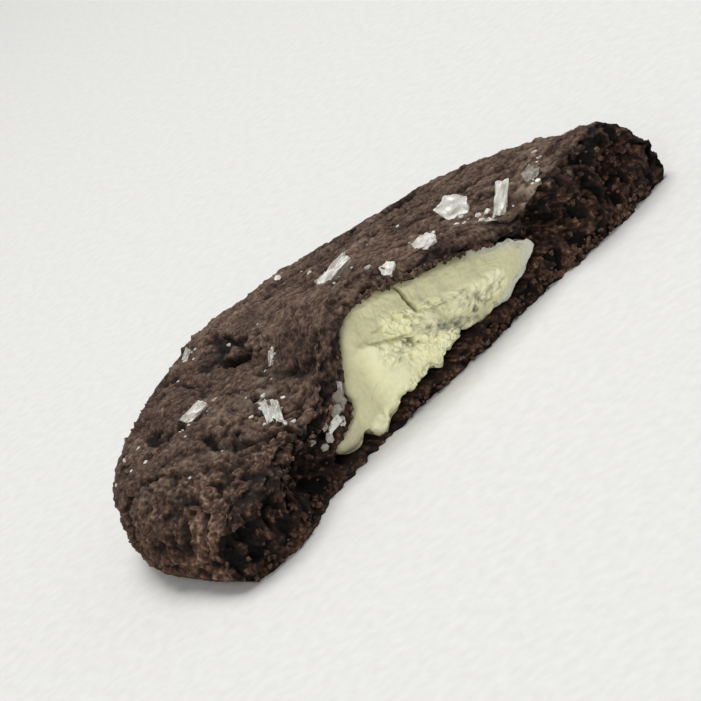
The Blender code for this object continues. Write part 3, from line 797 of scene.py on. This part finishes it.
def shape_grains(tree):
    """Small salt grains scattered over the crust, and chips beside the large flakes."""
    dice = random.Random(9)
    shape = bmesh.new()
    clean = []
    spots = [(dice.uniform(-32, 36), dice.uniform(2, 36)) for _ in range(SCATTERED_GRAINS)]
    for x, y, length, width, turn, lean in FLAKES:
        spots += [(x + dice.gauss(0, 1.1), y + dice.gauss(0, 1.1)) for _ in range(GRAINS_BY_FLAKE)]
    spots += [(x + dice.gauss(0, 0.2), STRIP_START - STRIP_SLOPE * x + dice.gauss(0, 0.2))
              for x in np.arange(*GRAIN_STRIP)]
    spots += GRAIN_PLACES
    for x, y in spots:
        if math.hypot(x, y) > 0.97 * COOKIE_RADIUS or y < 1.0:
            continue
        axes = flake_axes(dice.uniform(0, 180), dice.uniform(-20, 40))
        length = dice.uniform(0.3, 0.8)
        centre = ground_at(tree, x, y) + Vector((0, 0, 0.05))
        width = length * dice.uniform(0.5, 1)
        salt_plate(shape, centre, axes, length, width, length * 0.4, dice, GRAIN_DETAIL)
        clean += [dice.uniform(0.5, 1.0)] * (len(shape.verts) - len(clean))
    return shape, clean


def to_mesh(name, shape):
    """A mesh in metres from a shape in mm."""
    bmesh.ops.scale(shape, vec=(MM, MM, MM), verts=shape.verts)
    bmesh.ops.recalc_face_normals(shape, faces=shape.faces)
    mesh = bpy.data.meshes.new(name)
    shape.to_mesh(mesh)
    shape.free()
    return mesh


def shape_loose_crumbs():
    """Ragged crumbs that cling to the torn dough, most of them along its lower edge."""
    dice = random.Random(12)
    shape = bmesh.new()
    spots = []
    for number in range(LOOSE_CRUMBS):
        x = dice.uniform(*CRUMB_SPAN)
        top = at(crust_height, x, 0.0)
        z = dice.uniform(0.2, 1.6) if number % 2 else dice.uniform(0.3, top * 0.9)
        if at(filling_share, x, z) > CRUMBS_CLEAR:
            spots.append((x, z))
    for _ in range(LIP_CRUMBS):
        angle = dice.uniform(0.1, 2.1)
        out = at(outline_radius, angle) + dice.uniform(0.2, 0.9)
        x = FILLING_CENTRE[0] + out * math.cos(angle)
        z = FILLING_CENTRE[1] + out * math.sin(angle)
        spots.append((x, z))
    for x, z in spots:
        top = at(crust_height, x, 0.0)
        y = at(break_offset, x, z, top)
        radius = CRUMB_RADIUS + CRUMB_GROWTH * dice.random() ** 2
        made = bmesh.ops.create_icosphere(shape, subdivisions=2, radius=1.0)["verts"]
        offset = Vector((dice.uniform(0, 90), 0, 0))
        for corner in made:
            corner.co *= 1 + 0.9 * noise.noise(corner.co * 1.6 + offset)
        size = Matrix.Diagonal([radius * dice.uniform(0.6, 1.3) for _ in range(3)]).to_4x4()
        turn = dice.uniform(0, math.pi)
        spin = Matrix.Rotation(turn, 4, (dice.uniform(-1, 1), dice.uniform(-1, 1), 1))
        spot = (x, y + dice.uniform(-0.45, 0.2), max(z, radius))
        place = Matrix.Translation(spot) @ spin @ size
        bmesh.ops.transform(shape, matrix=place, verts=made)
        sunk = min(0, min(corner.co.z for corner in made))
        bmesh.ops.translate(shape, vec=(0, 0, -sunk), verts=made)
    return shape


def linear(hex_colour):
    """An sRGB hex colour as linear values."""
    parts = [int(hex_colour[i:i + 2], 16) / 255 for i in (0, 2, 4)]
    return (*[c / 12.92 if c <= 0.04045 else ((c + 0.055) / 1.055) ** 2.4 for c in parts], 1.0)


def add(tree, kind, settings=None, inputs=None):
    """Adds a node, with its settings and its inputs set or linked."""
    node = tree.nodes.new(kind)
    for name, value in (settings or {}).items():
        setattr(node, name, value)
    for name, value in (inputs or {}).items():
        if isinstance(value, bpy.types.NodeSocket):
            tree.links.new(value, node.inputs[name])
        else:
            node.inputs[name].default_value = value
    return node


def ramp(tree, factor, stops):
    """A colour ramp read at factor, from (place, hex colour) stops."""
    node = add(tree, "ShaderNodeValToRGB", inputs={"Fac": factor})
    band = node.color_ramp
    while len(band.elements) < len(stops):
        band.elements.new(0.5)
    for element, (place, colour) in zip(band.elements, stops):
        element.position = place
        element.color = linear(colour)
    return node.outputs["Color"]


def per_metre(size):
    """How many of a pattern's grains, of this size in mm, go into a metre."""
    return 1 / (size * MM)


def start_material(name):
    """A new material with its tree and its surface."""
    finish = bpy.data.materials.new(name)
    finish.use_nodes = True
    tree = finish.node_tree
    surface = tree.nodes["Principled BSDF"]
    return finish, tree, surface


def baked_cocoa_dough():
    """Cocoa dough: dry matt skin dulled by a faint bloom, darker, oily crumb where it broke, and
    painted shade deep in their creases, cracks, splits and pits.
    """
    finish, tree, surface = start_material("baked_cocoa_dough")
    place = add(tree, "ShaderNodeTexCoord").outputs["Object"]
    broken, height, brine = (add(tree, "ShaderNodeAttribute", {"attribute_name": kept}).outputs["Fac"]
                             for kept in ("broken", "height", "brine"))
    patches = add(tree, "ShaderNodeTexNoise",
                  inputs={"Vector": place, "Scale": per_metre(DOUGH_PATCH), "Detail": 4.0})
    specks = add(tree, "ShaderNodeTexNoise",
                 inputs={"Vector": place, "Scale": per_metre(DOUGH_SPECK), "Detail": 3.0})
    skin_tone = add(tree, "ShaderNodeMath", {"operation": "MULTIPLY_ADD"},
                    {0: specks.outputs["Fac"], 1: 0.9, 2: -0.225})
    skin_spread = add(tree, "ShaderNodeMath", {"operation": "MULTIPLY_ADD"},
                      {0: patches.outputs["Fac"], 1: 0.5, 2: skin_tone.outputs[0]})
    # Painted shade: the skin darkens where its relief sinks, nearly black deep in creases, cracks and
    # splits
    skin_height = add(tree, "ShaderNodeMath", {"operation": "MULTIPLY_ADD"},
                      {0: height, 1: 0.42, 2: skin_spread.outputs[0]})
    crust = ramp(tree, skin_height.outputs[0],
                 [(0.18, "190f0b"), (0.36, "3f2d24"), (0.55, "645043"), (0.80, "8f7966")])
    # Painted shade: the crumb darkens where its relief sinks, nearly black in the pits between crumbs
    crumb_height = add(tree, "ShaderNodeMath", {"operation": "MULTIPLY_ADD"},
                       {0: height, 1: 0.5, 2: skin_spread.outputs[0]})
    crumb = ramp(tree, crumb_height.outputs[0],
                 [(0.20, "0a0503"), (0.42, "261810"), (0.62, "533d30"), (0.82, "9a806e")])
    both = add(tree, "ShaderNodeMix", {"data_type": "RGBA"},
               {"Factor": broken, "A": crust, "B": crumb})
    level = add(tree, "ShaderNodeSeparateXYZ", inputs={"Vector": place}).outputs["Z"]
    low = add(tree, "ShaderNodeMapRange",
              inputs={"Value": level, "From Min": 0.010, "From Max": 0.005})
    warm = add(tree, "ShaderNodeMix", {"data_type": "RGBA", "blend_type": "MULTIPLY"},
               {"Factor": low.outputs["Result"], "A": both.outputs["Result"], "B": linear("fff1e9")})
    dulled = add(tree, "ShaderNodeMix", {"data_type": "RGBA"},
                 {"Factor": brine, "A": warm.outputs["Result"], "B": linear("a2937f")})
    tree.links.new(dulled.outputs["Result"], surface.inputs["Base Color"])
    surface.inputs["Roughness"].default_value = 0.8
    surface.inputs["IOR"].default_value = 1.45
    surface.inputs["Specular IOR Level"].default_value = 0.3
    grain = add(tree, "ShaderNodeTexNoise",
                inputs={"Vector": place, "Scale": per_metre(DOUGH_GRIT), "Detail": 5.0})
    bump = add(tree, "ShaderNodeBump",
               inputs={"Height": grain.outputs["Fac"], "Strength": 0.9, "Distance": 0.0003})
    tree.links.new(bump.outputs["Normal"], surface.inputs["Normal"])
    return finish


def white_chocolate():
    """White chocolate: cocoa butter glows a little; satin, grey-cream skin, and a dry, pale tear with
    painted shade in its creases and pits.
    """
    finish, tree, surface = start_material("white_chocolate")
    place = add(tree, "ShaderNodeTexCoord").outputs["Object"]
    torn, low, skin, greyed, bloom = (
        add(tree, "ShaderNodeAttribute", {"attribute_name": kept}).outputs["Fac"]
        for kept in ("torn", "low", "skin", "greyed", "bloom"))
    cloud = add(tree, "ShaderNodeTexNoise",
                inputs={"Vector": place, "Scale": per_metre(CHOCOLATE_CLOUD), "Detail": 4.0})
    body = ramp(tree, cloud.outputs["Fac"], [(0.3, "f3efb9"), (0.7, "fffbcd")])
    dull = ramp(tree, cloud.outputs["Fac"], [(0.3, "d6d2a8"), (0.7, "e2deb4")])
    both = add(tree, "ShaderNodeMix", {"data_type": "RGBA"},
               {"Factor": skin, "A": body, "B": dull})
    dust = add(tree, "ShaderNodeMath", {"operation": "MULTIPLY"}, {0: torn, 1: 0.5})
    pale = add(tree, "ShaderNodeMix", {"data_type": "RGBA"},
               {"Factor": dust.outputs[0], "A": both.outputs["Result"], "B": linear("fffddc")})
    # Painted shade: the tear's creases, pits and low chips are painted darker, towards olive brown
    shade = add(tree, "ShaderNodeMapRange",
                inputs={"Value": low, "From Min": 0.15, "From Max": 0.9, "To Min": 0.0, "To Max": 0.6})
    deep = add(tree, "ShaderNodeMix", {"data_type": "RGBA"},
               {"Factor": shade.outputs["Result"], "A": pale.outputs["Result"], "B": linear("7c7648")})
    # Greyer towards the tail and along the top rim
    tail_and_rim_greyed = add(tree, "ShaderNodeMix", {"data_type": "RGBA"},
                {"Factor": greyed, "A": deep.outputs["Result"], "B": linear("9c9080")})
    bloomed = add(tree, "ShaderNodeMix", {"data_type": "RGBA"},
                  {"Factor": bloom, "A": tail_and_rim_greyed.outputs["Result"], "B": linear("dedccf")})
    tree.links.new(bloomed.outputs["Result"], surface.inputs["Base Color"])
    surface.inputs["Roughness"].default_value = 0.52
    surface.inputs["IOR"].default_value = 1.45
    surface.inputs["Subsurface Weight"].default_value = 0.15
    surface.inputs["Subsurface Radius"].default_value = (1.0, 0.8, 0.45)
    surface.inputs["Subsurface Scale"].default_value = 0.0008
    grain = add(tree, "ShaderNodeTexNoise",
                inputs={"Vector": place, "Scale": per_metre(CHOCOLATE_GRAIN), "Detail": 4.0})
    bump = add(tree, "ShaderNodeBump",
               inputs={"Height": grain.outputs["Fac"], "Strength": 0.7, "Distance": 0.0002})
    tree.links.new(bump.outputs["Normal"], surface.inputs["Normal"])
    return finish


def flaky_salt():
    """Flaky sea salt: clear crystal clouded by tiny bubbles, so it reads as off-white and sparkles."""
    finish, tree, surface = start_material("flaky_salt")
    place = add(tree, "ShaderNodeTexCoord").outputs["Object"]
    cloud = add(tree, "ShaderNodeTexNoise",
                inputs={"Vector": place, "Scale": per_metre(SALT_CLOUD), "Detail": 4.0})
    body = ramp(tree, cloud.outputs["Fac"], [(0.3, "c9c7bd"), (0.6, "eceae2")])
    clean = add(tree, "ShaderNodeAttribute", {"attribute_name": "clean"}).outputs["Fac"]
    greyed = add(tree, "ShaderNodeMix", {"data_type": "RGBA"},
                 {"Factor": clean, "A": linear("74695c"), "B": body})
    tree.links.new(greyed.outputs["Result"], surface.inputs["Base Color"])
    surface.inputs["Roughness"].default_value = 0.32
    surface.inputs["IOR"].default_value = 1.54
    surface.inputs["Subsurface Weight"].default_value = 0.12
    surface.inputs["Subsurface Scale"].default_value = 0.0006
    bump = add(tree, "ShaderNodeBump",
               inputs={"Height": cloud.outputs["Fac"], "Strength": 0.5, "Distance": 0.0001})
    tree.links.new(bump.outputs["Normal"], surface.inputs["Normal"])
    return finish


def pale_paper():
    """The plain pale floor: matt uncoated paper."""
    finish, tree, surface = start_material("pale_paper")
    place = add(tree, "ShaderNodeTexCoord").outputs["Object"]
    fibre = add(tree, "ShaderNodeTexNoise",
                inputs={"Vector": place, "Scale": per_metre(PAPER_FIBRE), "Detail": 5.0})
    tone = ramp(tree, fibre.outputs["Fac"], [(0.3, "e2e1de"), (0.7, "eae9e6")])
    tree.links.new(tone, surface.inputs["Base Color"])
    surface.inputs["Roughness"].default_value = 0.9
    return finish


def new_piece(name, mesh, finish, smooth=True):
    """A piece in the frame's place, riding with the cookie."""
    mesh.transform(Matrix.Translation(FRAME_SHIFT))
    mesh.materials.clear()
    mesh.materials.append(finish)
    if smooth:
        mesh.shade_smooth()
    piece = bpy.data.objects.new(name, mesh)
    bpy.context.scene.collection.objects.link(piece)
    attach(piece, "root")
    return piece


def view_axes():
    """The photo's right, up and backward directions, with its roll."""
    a, e, r = (math.radians(t) for t in (VIEW_AZIMUTH, VIEW_ELEVATION, VIEW_ROLL))
    back = Vector((math.sin(a) * math.cos(e), -math.cos(a) * math.cos(e), math.sin(e)))
    level = Vector((math.cos(a), math.sin(a), 0))
    over = back.cross(level)
    right = math.cos(r) * level - math.sin(r) * over
    return right, back.cross(right), back


def set_camera(aim):
    """The photo's view of the half, brought closer so that it fills the frame."""
    right, up, back = view_axes()
    spot = Vector(FRAME_SHIFT) + back * VIEW_DISTANCE
    back = (spot - aim).normalized()
    right = (right - back * right.dot(back)).normalized()
    up = back.cross(right)
    lens = bpy.data.cameras.new("camera")
    lens.sensor_width = SENSOR
    lens.lens = SENSOR * PHOTO_FOCAL_PIXELS * CLOSER / FRAME_PIXELS
    lens.clip_start = NEAREST
    camera = bpy.data.objects.new("camera", lens)
    camera.matrix_world = Matrix((right, up, back)).transposed().to_4x4()
    camera.matrix_world.translation = spot
    bpy.context.scene.collection.objects.link(camera)
    bpy.context.scene.camera = camera


def softbox(name, spot, size, power, aim):
    """A round soft light turned to what it lights."""
    light = bpy.data.lights.new(name, "AREA")
    light.shape = "DISK"
    light.size = size
    light.energy = power
    lamp = bpy.data.objects.new(name, light)
    lamp.location = spot
    lamp.rotation_euler = (Vector(aim) - Vector(spot)).to_track_quat("-Z", "Y").to_euler()
    bpy.context.scene.collection.objects.link(lamp)


def set_lights(aim):
    """Soft light from the photo's upper left, almost overhead, and a weak one from the front."""
    bpy.context.scene.view_settings.view_transform = "Standard"
    softbox("overhead", *OVERHEAD, aim)
    softbox("front_fill", *FRONT_FILL, aim)
    world = bpy.data.worlds.new("room")
    world.use_nodes = True
    background = world.node_tree.nodes["Background"]
    background.inputs["Color"].default_value = linear("f4f6f8")
    background.inputs["Strength"].default_value = ROOM_LIGHT
    bpy.context.scene.world = world


dough_mesh = shape_dough()
dough_finish = baked_cocoa_dough()
salt_finish = flaky_salt()
crust_tree = surface_tree(dough_mesh)
salts = [("salt_flakes", shape_flakes(crust_tree)),
         ("salt_film", shape_film()),
         ("salt_grains", shape_grains(crust_tree))]
for name, (shape, clean) in salts:
    salt_mesh = to_mesh(name, shape)
    store(salt_mesh, "clean", clean)
    new_piece(name, salt_mesh, salt_finish, smooth=False)
crumb_mesh = to_mesh("loose_crumbs", shape_loose_crumbs())
new_piece("loose_crumbs", crumb_mesh, dough_finish)
dough = new_piece("cookie_dough", dough_mesh, dough_finish)
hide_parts("cookie")
chunk = new_piece("white_chocolate", shape_filling(), white_chocolate())
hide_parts("filling")

floor_mesh = bpy.data.meshes.new("floor")
floor_shape = bmesh.new()
bmesh.ops.create_grid(floor_shape, x_segments=1, y_segments=1, size=FLOOR_REACH)
floor_shape.to_mesh(floor_mesh)
floor_shape.free()
floor_mesh.materials.append(pale_paper())
floor = bpy.data.objects.new("floor", floor_mesh)
floor.location.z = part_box("cookie")[0][2]
bpy.context.scene.collection.objects.link(floor)

set_camera(Vector(AIM))
set_lights(Vector(AIM))
